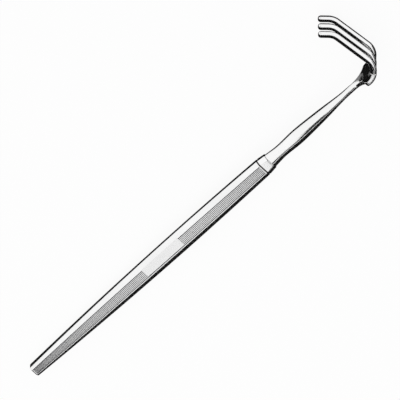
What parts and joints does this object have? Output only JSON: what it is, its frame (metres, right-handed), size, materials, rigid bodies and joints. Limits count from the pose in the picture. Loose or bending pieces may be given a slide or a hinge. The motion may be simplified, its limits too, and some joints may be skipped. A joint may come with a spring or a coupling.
{
  "type": "hand-held rake retractor",
  "caption": "Rigid rake retractor: fluted bar handle, ferrule, spindle neck and fan-shaped palm with blunt bent prongs.",
  "frame": {"origin": "centre of the flat end face at the handle's butt, on the shaft's axis", "axes": "+X along the shaft from butt to head, +Y the way the prongs are bent, +Z across the prongs"},
  "size_m": [0.2036, 0.0351, 0.0176],
  "materials": {
    "fluted_steel": "satin",
    "polished_steel": "polished",
    "braze_filler": "satin"
  },
  "bodies": {
    "root": {"handle": "fluted_steel", "ferrule": "polished_steel", "shank": "polished_steel", "tang_braze": "braze_filler", "ferrule_braze": "braze_filler", "prong_upper": "polished_steel", "prong_upper_braze": "braze_filler", "prong_middle": "polished_steel", "prong_middle_braze": "braze_filler", "prong_lower": "polished_steel", "prong_lower_braze": "braze_filler"}
  },
  "joints": []
}
